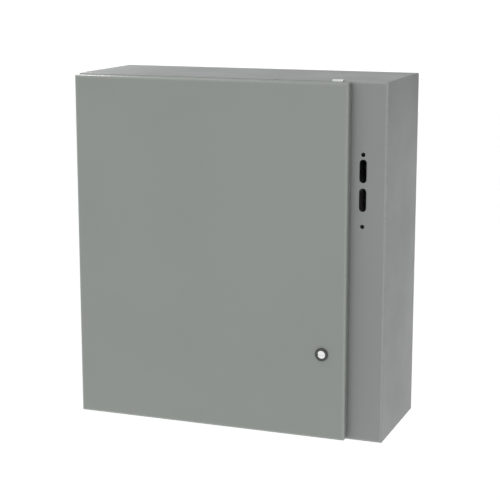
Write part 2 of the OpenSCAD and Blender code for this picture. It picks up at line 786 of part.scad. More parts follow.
// Printed board with a switch behind each button, and relays on its rear
module controller_board() color([0.1, 0.35, 0.2]) on_panel() {
    block([controller[0] + 3.5, -board_u - 1.6, controller[1] + 3.5],
        [controller[0] + controller[2] - 3.5, -board_u, controller[1] + controller[3] - 3.5]);
    for (x = button_x)
        block([x - 3, -board_u - 4, button_z - 3], [x + 3, -board_u - 1.5, button_z + 3]);
    for (i = [0 : 4])
        translate([controller[0] + 12 + i * 29, -board_u, 175]) block([0, 0.1, 0], [20, 16, 30]);
}

// A push button with a flange behind the fascia
module button(i) on_panel() translate([button_x[i], 0, button_z]) {
    translate([0, -case_u + 6, 0]) rod_y(button_r, fascia_t + 6 + button_proud);
    translate([0, -case_u + 3 + touch, 0]) rod_y(button_r + 1.6, 3);
}

module test_button() color([0.1, 0.45, 0.15]) button(0);
module bypass_button() color([0.8, 0.6, 0.1]) button(1);
module reset_button() color([0.7, 0.1, 0.1]) button(2);

// Laminated core with a window on each side of its middle limb, on a strap at each end
module transformer_cores() color([0.35, 0.35, 0.36]) on_panel() for (x = transformer_x)
    translate([x, 0, transformer_z]) difference() {
        union() {
            block([-core.x / 2, -core.y, -core.z / 2], [core.x / 2, -12, core.z / 2]);
            for (end = [0, 1]) mirror([0, 0, end]) {
                block([-core.x / 2, -core.y + 8, core.z / 2 - 1], [core.x / 2, 0, core.z / 2 + 2]);
                block([-core.x / 2, -3, core.z / 2 - 1], [core.x / 2, 0, core.z / 2 + 14]);
            }
        }
        for (side = [-1, 1])
            translate([side * (limb + 5.5), 0, 0])
                block([-5.5, -core.y - 1, -core.z / 2 + 11], [5.5, 1, core.z / 2 - 11]);
        for (side = [-1, 1])
            translate([0, 1, side * (core.z / 2 + 8)]) rod_y(screw_r + 0.3, 6);
    }

// Winding round the middle limb
module transformer_coils() color([0.75, 0.62, 0.3]) on_panel() for (x = transformer_x)
    translate([x, 0, transformer_z]) difference() {
        block([-limb - 10.7, -core.y - 9, -core.z / 2 + 11.3], [limb + 10.7, -3, core.z / 2 - 11.3]);
        block([-limb - 0.2, -core.y - 0.2, -core.z / 2], [limb + 0.2, -11.8, core.z / 2]);
    }

// Three-way fuse block: base with two clips for each fuse
module fuse_block() color([0.12, 0.12, 0.12]) on_panel() translate([fuse_x, 0, transformer_z]) {
    difference() {
        union() {
            block([-32, -12, -34], [32, 0, 34]);
            block([-42, -6, -8], [42, 0, 8]);
        }
        for (x = [-20, 0, 20])
            translate([x, -17, 0]) cylinder(r = 6.5, h = 80, center = true);
        for (side = [-1, 1])
            translate([side * 37, 1, 0]) rod_y(screw_r + 0.3, 8);
    }
    for (x = [-31, -10, 10, 31])
        block([x - 1, -24, -34], [x + 1, -11, 34]);
}

module fuse_links() color([0.85, 0.8, 0.65]) on_panel() for (x = [-20, 0, 20])
    translate([fuse_x + x, -17, transformer_z]) {
        cylinder(r = 5, h = 30, center = true);
        for (end = [-1, 1])
            translate([0, 0, end * 19.5]) cylinder(r = 5.8, h = 11, center = true);
    }

module terminal_strip() color([0.14, 0.14, 0.15]) on_panel() translate([strip_x, 0, strip_z]) {
    half = strip_ways * strip_pitch / 2;
    difference() {
        block([-half - 12, -14, -15], [half + 12, 0, 15]);
        for (side = [-1, 1])
            translate([side * strip_hole_x, 1, 0]) rod_y(screw_r + 0.3, 16);
        for (i = [0 : strip_ways - 1], z = [-6.5, 6.5])
            translate([-half + (i + 0.5) * strip_pitch, -8, z]) rod_y(1.9, 10);
    }
    for (i = [0 : strip_ways])
        translate([-half + i * strip_pitch, 0, 0]) block([-1, -20, -13], [1, -13.5, 13]);
}

// A drilled bar for conductors: holes run up through it and a screw presses each from the front
module wire_bar(n) difference() {
    block([-bar_len / 2, -12, -8], [bar_len / 2, 0, 8]);
    for (i = [0 : n - 1])
        translate([(i - (n - 1) / 2) * bar_screw_pitch, -6, 0]) {
            cylinder(r = 3.4, h = 20, center = true);
            rod_y(1.9, 8);
        }
}

module neutral_bar() color([0.8, 0.81, 0.82]) on_panel()
    translate([neutral_x, -20, neutral_z]) wire_bar(6);

module ground_bar() color([0.78, 0.48, 0.3]) on_panel()
    translate([neutral_x, -6, ground_z]) wire_bar(6);

// Two red stand-offs under the neutral bar and two metal ones under the ground bar
module bar_insulators() color([0.6, 0.12, 0.1]) on_panel() for (side = [-1, 1]) {
    translate([neutral_x + side * 62, 0, neutral_z]) rod_y(7, 20);
    translate([neutral_x + side * 62, 0, ground_z]) rod_y(6, 6);
}

// Clamping screws of the terminal strip and of the two bars
module wiring_screws() color([0.8, 0.8, 0.78]) on_panel() {
    for (i = [0 : strip_ways - 1], z = [-6.5, 6.5])
        translate([strip_x + (i + 0.5 - strip_ways / 2) * strip_pitch, -14, strip_z + z])
            screw(3.8, 2.2, 1.8, 5);
    for (row = [[20, neutral_z], [6, ground_z]], i = [0 : 5])
        translate([neutral_x + (i - 2.5) * bar_screw_pitch, -row[0] - 12, row[1]])
            screw(3.8, 2.2, 1.8, 2.5);
}

// Two bundles, each from a plug under the controller, with branches to the devices they feed
module control_harness() color([0.1, 0.1, 0.12]) on_panel() {
    u = -harness_u;
    plug_z = controller[1] - 12;
    low_z = strip_z + 29;
    for (x = [-165, -95])
        block([x - 25, -30, plug_z], [x + 25, -14, plug_z + 12]);
    cable([[-165, -22, plug_z + 1], [-165, -22, 124], [-165, u, 124], [-207, u, 124],
        [-207, u, low_z], [50, u, low_z], [50, u, strip_z + 15.2]], harness_r);
    cable([[-95, -22, plug_z + 1], [-95, -22, 132], [-95, u, 132], [194, u, 132],
        [194, u, low_z], [170, u, low_z], [170, u, strip_z + 15.2]], harness_r);
    cable([[194, u, -150], [112, u, -150], [112, u, -82], [112, -50, -82]], 3);
    for (x = transformer_x)
        cable([[x, u, 132], [x, -50.5, 132], [x, -50.5, transformer_z - core.z / 2 + 11]], 3);
    cable([[fuse_x, u, 132], [fuse_x, u, transformer_z - 34.2]], 3);
}

enclosure_body();
front_frame();
mounting_panel();
panel_studs();
panel_nuts();
panel_screws();
body_hinge_brackets();
top_catch_clip();
body_ground_stud();
door_panel();
door_stiffeners();
door_gasket();
door_hinge_leaves();
hinge_pins();
data_pocket();
latch_housing();
latch_seal();
latch_nut();
latch_spindle();
latch_cam();
cam_screw();
switch_base();
normal_contacts();
emergency_contacts();
load_jaws();
fixed_contact_pads();
terminal_lugs();
lug_screws();
arc_chutes();
arc_plates();
bearing_brackets();
shaft_bushes();
main_shaft();
shaft_insulation();
moving_blades();
moving_contact_pads();
drive_crank();
manual_lever();
lever_grip();
solenoid_frame();
solenoid_coil();
solenoid_plunger();
aux_switch();
controller_case();
controller_board();
controller_fascia();
indicator_lenses();
test_button();
bypass_button();
reset_button();
transformer_cores();
transformer_coils();
fuse_block();
fuse_links();
terminal_strip();
neutral_bar();
ground_bar();
bar_insulators();
wiring_screws();
control_harness();
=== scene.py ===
import json
import math

import bmesh
import bpy
from mathutils import Matrix, Vector


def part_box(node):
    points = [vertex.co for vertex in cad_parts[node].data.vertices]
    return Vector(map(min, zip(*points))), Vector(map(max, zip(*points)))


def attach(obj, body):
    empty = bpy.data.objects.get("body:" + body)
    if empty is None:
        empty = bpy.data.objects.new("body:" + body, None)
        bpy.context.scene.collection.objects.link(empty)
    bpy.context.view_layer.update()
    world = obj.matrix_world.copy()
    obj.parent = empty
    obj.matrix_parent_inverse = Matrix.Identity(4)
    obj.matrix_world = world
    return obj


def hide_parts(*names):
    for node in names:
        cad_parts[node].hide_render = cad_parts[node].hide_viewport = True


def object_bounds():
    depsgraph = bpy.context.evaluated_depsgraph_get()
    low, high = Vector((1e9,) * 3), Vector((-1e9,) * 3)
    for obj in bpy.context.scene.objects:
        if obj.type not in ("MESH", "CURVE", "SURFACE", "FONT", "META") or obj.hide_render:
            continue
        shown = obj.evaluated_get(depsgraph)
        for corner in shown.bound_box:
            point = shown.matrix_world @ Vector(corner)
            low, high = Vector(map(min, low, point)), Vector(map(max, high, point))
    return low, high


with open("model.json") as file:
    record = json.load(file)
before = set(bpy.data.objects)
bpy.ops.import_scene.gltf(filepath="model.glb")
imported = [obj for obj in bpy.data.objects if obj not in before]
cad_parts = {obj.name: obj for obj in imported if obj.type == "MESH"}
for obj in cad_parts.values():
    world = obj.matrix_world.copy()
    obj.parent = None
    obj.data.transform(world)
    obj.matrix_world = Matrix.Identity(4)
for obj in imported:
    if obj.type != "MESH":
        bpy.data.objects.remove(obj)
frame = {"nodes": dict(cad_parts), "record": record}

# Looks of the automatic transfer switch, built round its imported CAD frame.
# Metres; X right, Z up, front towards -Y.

CAD_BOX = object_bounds()
NODES = frame["nodes"]
SLOT_OF = {row["node"]: row["material_slot"] for row in frame["record"]["subparts"]}
MM = 0.001


# ---- Camera ----

CAMERA_YAW = math.radians(20.49)
CAMERA_PITCH = math.radians(11.53)
CAMERA_DISTANCE = 2.5296
CAMERA_LENS = 102.26
CAMERA_RIGHT = 0.0018
CAMERA_UP = -0.0097
SENSOR_WIDTH = 36.0
# The sealing lip stands this far in front of the flange
LIP_HEIGHT = 0.010

body_lo, SHELL_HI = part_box("enclosure_body")
lip_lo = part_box("front_frame")[0]
SHELL_LO = Vector((body_lo.x, lip_lo.y + LIP_HEIGHT, body_lo.z))
target = (SHELL_LO + SHELL_HI) / 2
forward = Vector((-math.sin(CAMERA_YAW) * math.cos(CAMERA_PITCH),
                  math.cos(CAMERA_YAW) * math.cos(CAMERA_PITCH), -math.sin(CAMERA_PITCH)))
right = Vector((math.cos(CAMERA_YAW), math.sin(CAMERA_YAW), 0.0))
up = right.cross(forward)
camera_data = bpy.data.cameras.new("camera")
camera_data.lens = CAMERA_LENS
camera_data.sensor_width = SENSOR_WIDTH
camera = bpy.data.objects.new("camera", camera_data)
camera.location = target - forward * CAMERA_DISTANCE + right * CAMERA_RIGHT + up * CAMERA_UP
camera.rotation_mode = "QUATERNION"
camera.rotation_quaternion = forward.to_track_quat("-Z", "Y")
bpy.context.scene.collection.objects.link(camera)
bpy.context.scene.camera = camera


# ---- Light and floor ----

# The sky's strength, and how it changes towards each side
SKY_LEVEL = 0.925
SKY_UP = -0.08
SKY_RIGHT = -1.05
SKY_BACK = -0.18
SKY_LEFT = -1.1
SKY_LEFT_FROM = 0.55
SKY_LEAST = 0.05
BACKDROP_LEVEL = 1.1
FLOOR_DROP = 0.42
FLOOR_HALF = 9.0
FLOOR_GLOW = 0.42
WARM_WHITE = (1.0, 0.965, 0.95)

scene = bpy.context.scene
scene.view_settings.view_transform = "Standard"
scene.view_settings.look = "None"

world = bpy.data.worlds.new("studio")
scene.world = world
world.use_nodes = True
sky = world.node_tree
sky.nodes.clear()


def sky_math(operation, a, b):
    node = sky.nodes.new("ShaderNodeMath")
    node.operation = operation
    for value, socket in zip((a, b), node.inputs):
        if isinstance(value, (int, float)):
            socket.default_value = value
        else:
            sky.links.new(value, socket)
    return node.outputs[0]


def sky_slope(level, value, slope):
    """A level that also changes with a value."""
    return sky_math("ADD", sky_math("MULTIPLY", value, slope), level)


def sky_light():
    node = sky.nodes.new("ShaderNodeBackground")
    node.inputs["Color"].default_value = (1.0, 1.0, 1.0, 1.0)
    return node


heading = sky.nodes.new("ShaderNodeSeparateXYZ")
sky.links.new(sky.nodes.new("ShaderNodeTexCoord").outputs["Generated"], heading.inputs[0])
sky_x, sky_y, sky_z = (heading.outputs[name] for name in "XYZ")
level = sky_slope(SKY_LEVEL, sky_z, SKY_UP)
level = sky_slope(level, sky_math("MAXIMUM", sky_x, 0.0), SKY_RIGHT)
level = sky_slope(level, sky_y, SKY_BACK)
leftness = sky_math("SUBTRACT", sky_math("MULTIPLY", sky_x, -1.0), SKY_LEFT_FROM)
level = sky_slope(level, sky_math("MAXIMUM", leftness, 0.0), SKY_LEFT)
studio = sky_light()
sky.links.new(sky_math("MAXIMUM", level, SKY_LEAST), studio.inputs["Strength"])
backdrop = sky_light()
backdrop.inputs["Strength"].default_value = BACKDROP_LEVEL
chooser = sky.nodes.new("ShaderNodeMixShader")
sky.links.new(sky.nodes.new("ShaderNodeLightPath").outputs["Is Camera Ray"], chooser.inputs[0])
sky.links.new(studio.outputs[0], chooser.inputs[1])
sky.links.new(backdrop.outputs[0], chooser.inputs[2])
world_output = sky.nodes.new("ShaderNodeOutputWorld")
sky.links.new(chooser.outputs[0], world_output.inputs["Surface"])


def area_light(name, place, aim, width, height, power, color=(1.0, 1.0, 1.0)):
    """A rectangular softbox that shines but isn't seen; sizes in metres, power in watts."""
    data = bpy.data.lights.new(name, "AREA")
    data.shape = "RECTANGLE"
    data.size = width
    data.size_y = height
    data.energy = power
    data.color = color
    light = bpy.data.objects.new(name, data)
    light.location = place
    light.rotation_mode = "QUATERNION"
    light.rotation_quaternion = (Vector(aim) - Vector(place)).to_track_quat("-Z", "Y")
    light.visible_camera = False
    scene.collection.objects.link(light)


top_left = Vector((SHELL_LO.x, target.y, SHELL_HI.z))
corner_aim = top_left + Vector((0.05, 0.0, 0.0))
area_light("overhead_softbox", target + Vector((-0.85, -0.5, 2.35)), target, 0.8, 0.8, 8.5)
area_light("corner_softbox", top_left + Vector((-0.14, 0.02, 0.20)), corner_aim, 0.1, 0.1, 0.5)
area_light("edge_softbox", target + Vector((1.95, -0.15, -0.35)), target, 1.5, 1.2, 0.9)
area_light("fill_softbox", target + Vector((1.1, -1.9, 1.1)), target, 0.8, 0.8, 4.0, WARM_WHITE)


# ---- Material building ----

# Noise values between which a finish drifts from one value to the other
DRIFT = (0.3, 0.7)


def scaled(color, factor):
    return tuple(c * factor for c in color)


class Surface:
    """A node material whose coordinates are metres in the row frame."""

    def __init__(self, name, color, roughness, metallic=0.0):
        self.material = bpy.data.materials.new(name)
        self.material.use_nodes = True
        self.tree = self.material.node_tree
        self.tree.nodes.clear()
        self.bsdf = self.add("ShaderNodeBsdfPrincipled")
        output = self.add("ShaderNodeOutputMaterial")
        self.tree.links.new(self.bsdf.outputs[0], output.inputs["Surface"])
        self.at = self.add("ShaderNodeTexCoord").outputs["Object"]
        self.bsdf.inputs["Metallic"].default_value = metallic
        self.bsdf.inputs["Base Color"].default_value = (*color, 1.0)
        self.bsdf.inputs["Roughness"].default_value = roughness
        self.color = tuple(color)
        self.normal = None

    def add(self, kind):
        return self.tree.nodes.new(kind)

    def put(self, value, socket):
        if isinstance(value, (int, float)):
            socket.default_value = value
        elif isinstance(value, tuple):
            short = len(value) < len(socket.default_value)
            socket.default_value = (*value, 1.0) if short else value
        else:
            self.tree.links.new(value, socket)

    def stretched(self, scale):
        node = self.add("ShaderNodeMapping")
        node.inputs["Scale"].default_value = scale
        self.tree.links.new(self.at, node.inputs["Vector"])
        return node.outputs[0]

    def noise(self, scale, detail=2.0, roughness=0.5, at=None):
        node = self.add("ShaderNodeTexNoise")
        node.inputs["Scale"].default_value = scale
        node.inputs["Detail"].default_value = detail
        node.inputs["Roughness"].default_value = roughness
        self.tree.links.new(at or self.at, node.inputs["Vector"])
        return node.outputs["Fac"]

    def cells(self, scale, output="Distance", at=None):
        node = self.add("ShaderNodeTexVoronoi")
        node.inputs["Scale"].default_value = scale
        self.tree.links.new(at or self.at, node.inputs["Vector"])
        return node.outputs[output]

    def waves(self, scale, direction, distortion=0.0):
        node = self.add("ShaderNodeTexWave")
        node.bands_direction = direction
        node.inputs["Scale"].default_value = scale
        node.inputs["Distortion"].default_value = distortion
        self.tree.links.new(self.at, node.inputs["Vector"])
        return node.outputs["Fac"]

    def math(self, operation, a, b=0.0, c=0.0):
        node = self.add("ShaderNodeMath")
        node.operation = operation
        for value, socket in zip((a, b, c), node.inputs):
            self.put(value, socket)
        return node.outputs[0]

    def spread(self, value, low, high, to_low=0.0, to_high=1.0):
        node = self.add("ShaderNodeMapRange")
        node.interpolation_type = "SMOOTHSTEP"
        ends = {"From Min": low, "From Max": high, "To Min": to_low, "To Max": to_high}
        for name, number in ends.items():
            node.inputs[name].default_value = number
        self.tree.links.new(value, node.inputs["Value"])
        return node.outputs[0]

    def mix(self, factor, a, b):
        node = self.add("ShaderNodeMix")
        node.data_type = "RGBA"
        self.put(factor, node.inputs[0])
        self.put(a, node.inputs[6])
        self.put(b, node.inputs[7])
        return node.outputs[2]

    def axis(self, name):
        node = self.add("ShaderNodeSeparateXYZ")
        self.tree.links.new(self.at, node.inputs[0])
        return node.outputs[name]

    def set_color(self, value):
        self.put(value, self.bsdf.inputs["Base Color"])
        self.color = value

    def bump(self, height, distance, strength=1.0):
        node = self.add("ShaderNodeBump")
        node.inputs["Strength"].default_value = strength
        node.inputs["Distance"].default_value = distance
        self.tree.links.new(height, node.inputs["Height"])
        if self.normal is not None:
            self.tree.links.new(self.normal, node.inputs["Normal"])
        self.normal = node.outputs[0]
        self.tree.links.new(self.normal, self.bsdf.inputs["Normal"])

    def vary(self, amount, scale, detail=3.0, at=None):
        """Colour drifts lighter and darker by amount."""
        light = tuple(min(1.0, c * (1 + amount)) for c in self.color)
        dark = scaled(self.color, 1 - amount)
        drift = self.spread(self.noise(scale, detail, at=at), *DRIFT)
        self.set_color(self.mix(drift, dark, light))

    def rough_vary(self, low, high, scale, detail=3.0, at=None):
        """Roughness drifts between low and high."""
        drift = self.spread(self.noise(scale, detail, at=at), *DRIFT, low, high)
        self.put(drift, self.bsdf.inputs["Roughness"])

    def edge_distance(self, lo, hi):
        """Distance from a point on a box's surface to the box's nearest edge."""
        sides = []
        for name, low, high in zip("XYZ", lo, hi):
            off = self.math("ABSOLUTE", self.math("SUBTRACT", self.axis(name), (low + high) / 2))
            sides.append(self.math("ABSOLUTE", self.math("SUBTRACT", (high - low) / 2, off)))
        a, b, c = sides
        larger = self.math("MAXIMUM", a, b)
        return self.math("MAXIMUM", self.math("MINIMUM", a, b), self.math("MINIMUM", larger, c))

    def edge_wear_and_highlight(self, lo, hi, color, reach, amount):
        """Patches of a lighter colour within reach of a box's edges: partly wear, partly a painted
        highlight along the bends.
        """
        near = self.spread(self.edge_distance(lo, hi), 0.0, reach, 1.0, 0.0)
        patchy = self.spread(self.noise(160.0, 4.0, 0.6), 0.15, 0.5)
        mask = self.math("MULTIPLY", self.math("MULTIPLY", near, patchy), amount)
        self.set_color(self.mix(mask, self.color, color))


def powder_coat(name, color, lo, hi, sheen_low=0.36, sheen_high=0.44):
    """Baked paint with a fine orange-peel texture, paler along its edges: partly worn thin, partly
    a painted highlight on the bends.
    """
    paint = Surface(name, color, 0.4)
    paint.vary(0.018, 4.0)
    paint.rough_vary(sheen_low, sheen_high, 9.0, 4.0)
    # Edges 1.42 times lighter: a painted highlight along the bends, broken up like wear
    paint.edge_wear_and_highlight(lo, hi, scaled(color, 1.42), 6 * MM, 0.9)
    paint.bump(paint.noise(520.0, 2.0, 0.45), 0.00006, 0.55)
    paint.bump(paint.noise(2600.0, 1.0), 0.000012, 0.5)
    return paint.material


def plated(name, color, rough=0.34, spangle=220.0):
    """Plated metal with small facets and slightly warm patches."""
    metal = Surface(name, color, rough, 1.0)
    facets = metal.cells(spangle, "Color")
    shade = metal.add("ShaderNodeSeparateXYZ")
    metal.tree.links.new(facets, shade.inputs[0])
    faceted = metal.mix(shade.outputs[0], scaled(color, 0.86), color)
    warm = (color[0] * 1.03, color[1], color[2] * 0.93)
    patches = metal.spread(metal.noise(60.0, 3.0), 0.35, 0.65)
    metal.set_color(metal.mix(patches, faceted, warm))
    metal.rough_vary(rough - 0.08, rough + 0.10, 90.0)
    metal.bump(metal.noise(900.0, 2.0), 0.00002, 0.6)
    return metal.material


def brushed(name, color, rough=0.28, stretch=(30.0, 1400.0, 1400.0), tarnish=None):
    """Bare metal with fine drawn lines and, if given, stains of a tarnish colour."""
    metal = Surface(name, color, rough, 1.0)
    lines = metal.stretched(stretch)
    metal.vary(0.06, 1.0, 4.0, at=lines)
    if tarnish:
        stain = metal.spread(metal.noise(55.0, 5.0, 0.6), 0.48, 0.72)
        metal.set_color(metal.mix(metal.math("MULTIPLY", stain, 0.4), metal.color, tarnish))
    metal.rough_vary(rough - 0.05, rough + 0.10, 1.0, 3.0, at=lines)
    metal.bump(metal.noise(1.0, 2.0, at=lines), 0.000004, 0.5)
    return metal.material


def moulded(name, color, rough=0.46, grain=1400.0, depth=0.00003, flow=0.05, coat=0.0):
    """Moulded plastic with a fine grain and faint flow marks."""
    plastic = Surface(name, color, rough)
    plastic.vary(flow, 22.0)
    plastic.rough_vary(rough - 0.07, rough + 0.08, 45.0)
    plastic.bump(plastic.cells(grain), depth, 0.6)
    plastic.bump(plastic.noise(60.0, 2.0), 0.00008, 0.25)
    plastic.bsdf.inputs["Coat Weight"].default_value = coat
    plastic.bsdf.inputs["Coat Roughness"].default_value = 0.2
    return plastic.material


def flecked(name, color, fleck, rough=0.5):
    """Glass-filled thermoset with pale fibres near its surface."""
    resin = Surface(name, color, rough)
    resin.vary(0.08, 30.0)
    strands = resin.noise(1.0, 1.0, at=resin.stretched((420.0, 420.0, 90.0)))
    fibres = resin.spread(strands, 0.62, 0.70)
    resin.set_color(resin.mix(resin.math("MULTIPLY", fibres, 0.35), resin.color, fleck))
    resin.rough_vary(rough - 0.08, rough + 0.1, 70.0)
    resin.bump(resin.noise(700.0, 3.0), 0.00005, 0.5)
    return resin.material


def rubbery(name, color, pores=1600.0):
    """Closed-cell foam rubber."""
    foam = Surface(name, color, 0.75)
    foam.vary(0.18, 120.0)
    foam.rough_vary(0.62, 0.86, 60.0)
    foam.bump(foam.cells(pores), 0.00012, 0.7)
    return foam.material


def laminated(name, color, pitch_per_m, direction):
    """A pile of thin steel sheets, seen at their edges."""
    sheets = Surface(name, color, 0.42, 0.55)
    lines = sheets.waves(pitch_per_m, direction)
    sheets.set_color(sheets.mix(lines, scaled(color, 0.55), scaled(color, 1.15)))
    sheets.rough_vary(0.32, 0.52, 80.0)
    sheets.bump(lines, 0.00012, 0.7)
    return sheets.material


def taped(name, color, pitch_per_m, direction):
    """Turns of tape or wire with dark gaps between them."""
    tape = Surface(name, color, 0.38)
    turns = tape.waves(pitch_per_m, direction, 0.6)
    tape.set_color(tape.mix(tape.spread(turns, 0.0, 0.35), scaled(color, 0.6), color))
    tape.rough_vary(0.28, 0.5, 50.0)
    tape.bump(turns, 0.0002, 0.6)
    tape.bsdf.inputs["Coat Weight"].default_value = 0.25
    return tape.material


def circuit(name, color):
    """Solder mask with raised tracks."""
    board = Surface(name, color, 0.35)
    tracks = board.add("ShaderNodeTexBrick")
    tracks.inputs["Scale"].default_value = 260.0
    tracks.inputs["Mortar Size"].default_value = 0.03
    turned = board.add("ShaderNodeMapping")
    turned.inputs["Rotation"].default_value = (math.pi / 2, 0.0, 0.0)
    board.tree.links.new(board.at, turned.inputs["Vector"])
    board.tree.links.new(turned.outputs[0], tracks.inputs["Vector"])
    board.set_color(board.mix(tracks.outputs["Fac"], color, scaled(color, 1.9)))
    board.rough_vary(0.25, 0.45, 80.0)
    board.bump(tracks.outputs["Fac"], 0.00005, 0.5)
    return board.material


def lens(name, color):
    """A ribbed, faintly lit indicator cap."""
    cap = Surface(name, color, 0.16)
    cap.vary(0.1, 300.0)
    cap.bump(cap.waves(900.0, "Z"), 0.00006, 0.5)
    cap.bsdf.inputs["Transmission Weight"].default_value = 0.35
    cap.bsdf.inputs["Emission Color"].default_value = (*color, 1.0)
    cap.bsdf.inputs["Emission Strength"].default_value = 0.35
    return cap.material


def button_cap(name, color):
    return moulded(name, color, 0.3, 1600.0, 0.00002, 0.05, 0.3)


DOOR_PAINT = (0.241, 0.262, 0.245)
BODY_PAINT = (0.229, 0.242, 0.237)
door_lo, door_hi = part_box("door_panel")
MATERIALS = {
    "white_paint": powder_coat("panel_enamel", (0.80, 0.80, 0.77), *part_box("mounting_panel"),
                               0.28, 0.36),
    "zinc_steel": plated("zinc_plate", (0.66, 0.67, 0.66)),
    "bare_steel": brushed("ground_steel", (0.56, 0.57, 0.58)),
    "bright_metal": plated("bright_plate", (0.75, 0.79, 0.81), 0.2, 700.0),
    "black_rubber": rubbery("seal_rubber", (0.022, 0.022, 0.023)),
    "black_plastic": moulded("black_moulding", (0.045, 0.046, 0.047), 0.48),
    "base_moulding": flecked("switch_resin", (0.055, 0.057, 0.062), (0.2, 0.2, 0.2)),
    "pocket_plastic": moulded("pocket_moulding", (0.60, 0.61, 0.58), 0.42, 900.0),
    "copper": brushed("copper_bar", (0.88, 0.46, 0.28), 0.27, (220.0, 260.0, 240.0),
                      (0.50, 0.22, 0.11)),
    "silver": brushed("contact_silver", (0.90, 0.89, 0.86), 0.27, (300.0, 260.0, 280.0),
                      (0.62, 0.57, 0.47)),
    "tinned_aluminium": brushed("tinned_bar", (0.80, 0.80, 0.79), 0.36, (60.0, 1200.0, 900.0)),
    "arc_fibre": flecked("arc_fibre", (0.16, 0.13, 0.10), (0.34, 0.30, 0.24), 0.6),
    "bronze": brushed("sintered_bronze", (0.66, 0.44, 0.20), 0.4, (300.0, 300.0, 300.0),
                      (0.3, 0.17, 0.07)),
    "shaft_plastic": moulded("shaft_moulding", (0.30, 0.055, 0.035), 0.4),
    "red_grip": moulded("grip_moulding", (0.52, 0.022, 0.016), 0.34, 1000.0, 0.00005, 0.06, 0.3),
    "laminated_steel": laminated("core_laminations", (0.20, 0.20, 0.21), 300.0, "Y"),
    "winding": taped("enamelled_wire", (0.52, 0.17, 0.05), 260.0, "Z"),
    "yellow_tape": taped("winding_tape", (0.62, 0.42, 0.08), 34.0, "Z"),
    "fascia_plastic": moulded("fascia_moulding", (0.075, 0.085, 0.10), 0.4, 1800.0),
    "circuit_board": circuit("solder_mask", (0.015, 0.12, 0.045)),
    "green_lens": lens("lens_green", (0.05, 0.55, 0.12)),
    "green_button": button_cap("button_green", (0.02, 0.22, 0.06)),
    "yellow_button": button_cap("button_yellow", (0.70, 0.42, 0.02)),
    "red_button": button_cap("button_red", (0.50, 0.02, 0.015)),
    "fuse_body": moulded("fuse_ceramic", (0.72, 0.68, 0.56), 0.22, 500.0, 0.00002, 0.05, 0.4),
    "red_insulator": moulded("insulator_moulding", (0.42, 0.03, 0.02), 0.32, 1200.0, 0.00004,
                             0.06, 0.3),
    "cable_jacket": moulded("cable_black", (0.02, 0.02, 0.022), 0.5, 1200.0),
}
# The back edges of the door's sides stay out of its painted edge highlight and wear
door_paint_hi = Vector((door_hi.x, door_hi.y + 20 * MM, door_hi.z))
PAINTED = {
    "enclosure_body": powder_coat("paint_body", BODY_PAINT, SHELL_LO, SHELL_HI),
    "door_panel": powder_coat("paint_door", DOOR_PAINT, door_lo, door_paint_hi),
    "door_stiffeners": powder_coat("paint_stiffeners", DOOR_PAINT, *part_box("door_stiffeners")),
}
PAINTED["front_frame"] = PAINTED["enclosure_body"]


# ---- Edges and finishes of the CAD pieces ----

# Bevel widths in millimetres
EDGE_WIDTH = 0.30
EDGES = {
    "enclosure_body": 0.0, "front_frame": 0.0, "latch_housing": 0.0, "indicator_lenses": 0.0,
    "arc_plates": 0.15, "controller_board": 0.2, "door_panel": 0.25,
    "mounting_panel": 0.4, "transformer_cores": 0.4, "load_jaws": 0.4, "lug_screws": 0.4,
    "terminal_strip": 0.4, "controller_fascia": 0.5, "neutral_bar": 0.5, "ground_bar": 0.5,
    "arc_chutes": 0.6, "main_shaft": 0.6, "fuse_block": 0.6, "manual_lever": 0.6,
    "terminal_lugs": 0.7, "switch_base": 0.8, "aux_switch": 0.8, "solenoid_plunger": 0.8,
    "data_pocket": 0.8, "controller_case": 1.0, "transformer_coils": 2.2,
}
# Their flat faces are joined up first, so that no bevel runs along a triangle's edge
PLAIN_FACED = ("switch_base", "neutral_bar", "ground_bar", "terminal_strip", "fuse_block",
               "aux_switch")
WELD_REACH = 0.002 * MM
FLAT_ANGLE = math.radians(0.4)
EDGE_ANGLE = math.radians(35.0)


def soften(piece, width):
    """Rounds a CAD piece's sharp edges by modifiers, leaving its mesh alone."""
    weld = piece.modifiers.new("weld", "WELD")
    weld.merge_threshold = WELD_REACH
    if piece.name in PLAIN_FACED:
        flat = piece.modifiers.new("flat", "DECIMATE")
        flat.decimate_type = "DISSOLVE"
        flat.angle_limit = FLAT_ANGLE
    bevel = piece.modifiers.new("edges", "BEVEL")
    bevel.width = width
    bevel.segments = 2
    bevel.limit_method = "ANGLE"
    bevel.angle_limit = EDGE_ANGLE
    bevel.use_clamp_overlap = True
    bevel.harden_normals = True
    bevel.miter_outer = "MITER_ARC"


for node, piece in NODES.items():
    material = PAINTED.get(node) or MATERIALS[SLOT_OF[node]]
    for held in piece.material_slots:
        held.link = "OBJECT"
        held.material = material
    width = EDGES.get(node, EDGE_WIDTH) * MM
    if width > 0:
        soften(piece, width)


# ---- Mesh building ----

def add_piece(name, bm, body, slot, sharp=40.0, material=None):
    """Turns a bmesh into a piece that rides a body and takes its finish from a slot."""
    bmesh.ops.recalc_face_normals(bm, faces=bm.faces)
    data = bpy.data.meshes.new(name)
    bm.to_mesh(data)
    bm.free()
    data.materials.append(material or MATERIALS[slot])
    for face in data.polygons:
        face.use_smooth = True
    data.set_sharp_from_angle(angle=math.radians(sharp))
    piece = bpy.data.objects.new(name, data)
    scene.collection.objects.link(piece)
    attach(piece, body)
    return piece


def skin(bm, rings, closed=False):
    """Joins equal rings of vertices in order; an open skin gets a cap at each end."""
    pairs = list(zip(rings, rings[1:]))
    if closed:
        pairs.append((rings[-1], rings[0]))
    for near, far in pairs:
        for i in range(len(near)):
            j = (i + 1) % len(near)
            bm.faces.new((near[i], near[j], far[j], far[i]))
    if not closed:
        bm.faces.new(rings[0])
        bm.faces.new(rings[-1])


def carried(side, along):
    """A sideways direction carried on to the next station without twist."""
    if side is None:
        return along.orthogonal().normalized()
    return (side - along * side.dot(along)).normalized()


